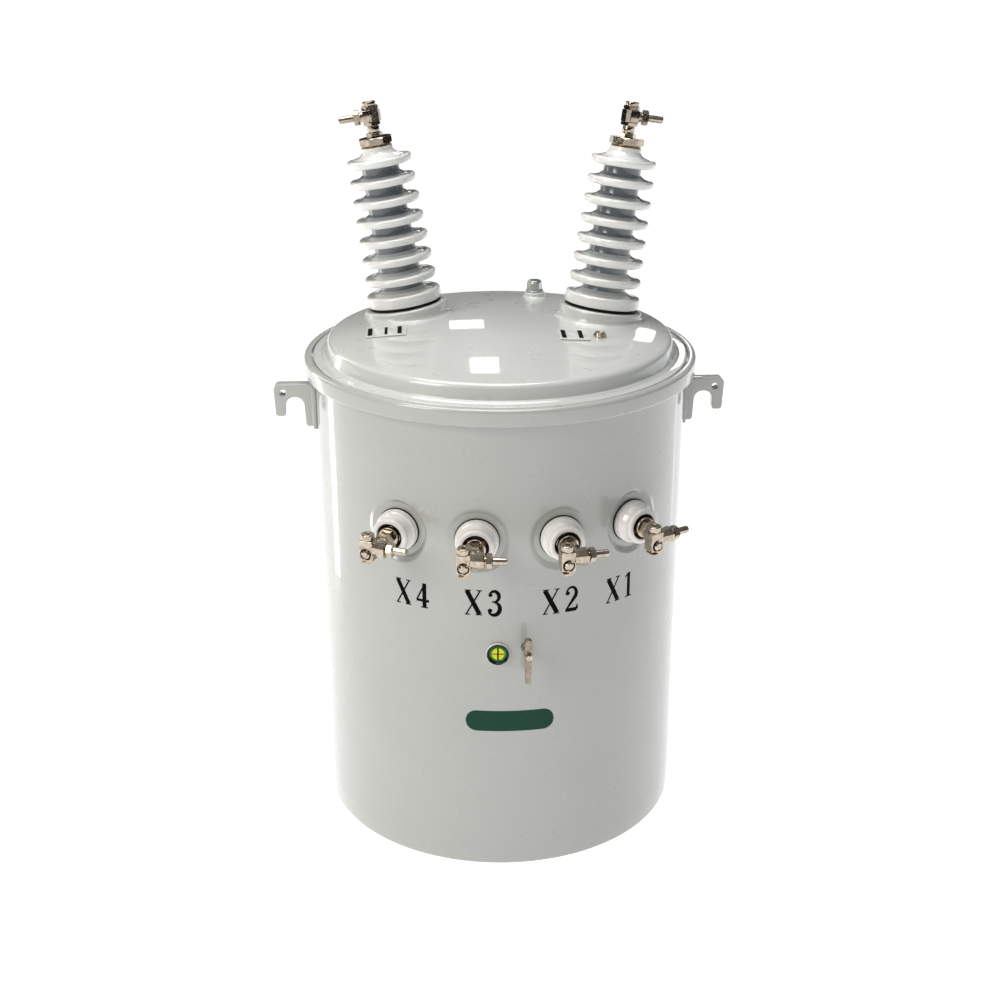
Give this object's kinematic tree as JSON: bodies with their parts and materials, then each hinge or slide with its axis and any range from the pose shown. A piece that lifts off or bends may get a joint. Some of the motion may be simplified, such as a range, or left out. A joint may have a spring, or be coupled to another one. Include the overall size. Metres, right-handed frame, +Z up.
{
  "type": "pole mounted distribution transformer",
  "caption": "Round grey oil-filled transformer tank with a clamped domed cover, tilted ribbed porcelain bushings on top, low voltage bushings in front, lifting lugs and rear hanger brackets.",
  "frame": {"origin": "centre of the tank's flat underside", "axes": "+Z up along the tank's axis; -Y is the front with the low voltage bushings; +Y is the back with the hanger brackets; the lifting lugs lie on the X axis"},
  "size_m": [0.578, 0.5912, 0.9142],
  "materials": {
    "tank_paint": "glossy light grey enamel on welded steel",
    "cover_paint": "glossy pale grey enamel on pressed steel",
    "grey_porcelain": "pale grey glaze",
    "white_porcelain": "off-white glaze",
    "nickel_metal": "nickel plated, satin with bright edges",
    "marker_metal": "thin enamelled plate",
    "brass_ring": "turned brass",
    "gasket_rubber": "matte black rubber",
    "gauge_plastic": "black moulded plastic",
    "gauge_window": "clear window over a green and yellow target"
  },
  "bodies": {
    "transformer": {"tank_body": "tank_paint", "clamp_band": "tank_paint", "band_bolt": "nickel_metal", "cover": "cover_paint", "cover_seats": "cover_paint", "relief_plug": "nickel_metal", "marker_plates": "marker_metal", "cover_button": "nickel_metal", "hv_gaskets": "gasket_rubber", "hv_rings": "brass_ring", "hv_porcelain_left": "grey_porcelain", "hv_nut_left": "nickel_metal", "hv_stud_left": "nickel_metal", "hv_connector_left": "nickel_metal", "hv_cap_left": "nickel_metal", "hv_porcelain_right": "grey_porcelain", "hv_nut_right": "nickel_metal", "hv_stud_right": "nickel_metal", "hv_connector_right": "nickel_metal", "hv_cap_right": "nickel_metal", "hv_pins": "nickel_metal", "lv_gaskets": "gasket_rubber", "lv_porcelain_x4": "white_porcelain", "lv_porcelain_x3": "white_porcelain", "lv_porcelain_x2": "white_porcelain", "lv_porcelain_x1": "white_porcelain", "lv_stud_x4": "nickel_metal", "lv_stud_x3": "nickel_metal", "lv_stud_x2": "nickel_metal", "lv_stud_x1": "nickel_metal", "lv_connector_x4": "nickel_metal", "lv_connector_x3": "nickel_metal", "lv_connector_x2": "nickel_metal", "lv_connector_x1": "nickel_metal", "lv_screws": "nickel_metal", "lv_pins": "nickel_metal", "lv_rods": "nickel_metal", "lifting_lug_left": "tank_paint", "lifting_lug_right": "tank_paint", "hanger_brackets": "tank_paint", "gauge_bezel": "gauge_plastic", "gauge_glass": "gauge_window", "lever_boss": "nickel_metal"},
    "handle": {"lever": "nickel_metal", "lever_shaft": "nickel_metal"}
  },
  "joints": [
    {"name": "lever_turn", "type": "hinge", "parent": "transformer", "child": "handle", "pos_m": [0.01885, -0.23424, 0.309], "axis": [0.0802, -0.9968, 0], "range_deg": [-60, 60]}
  ]
}
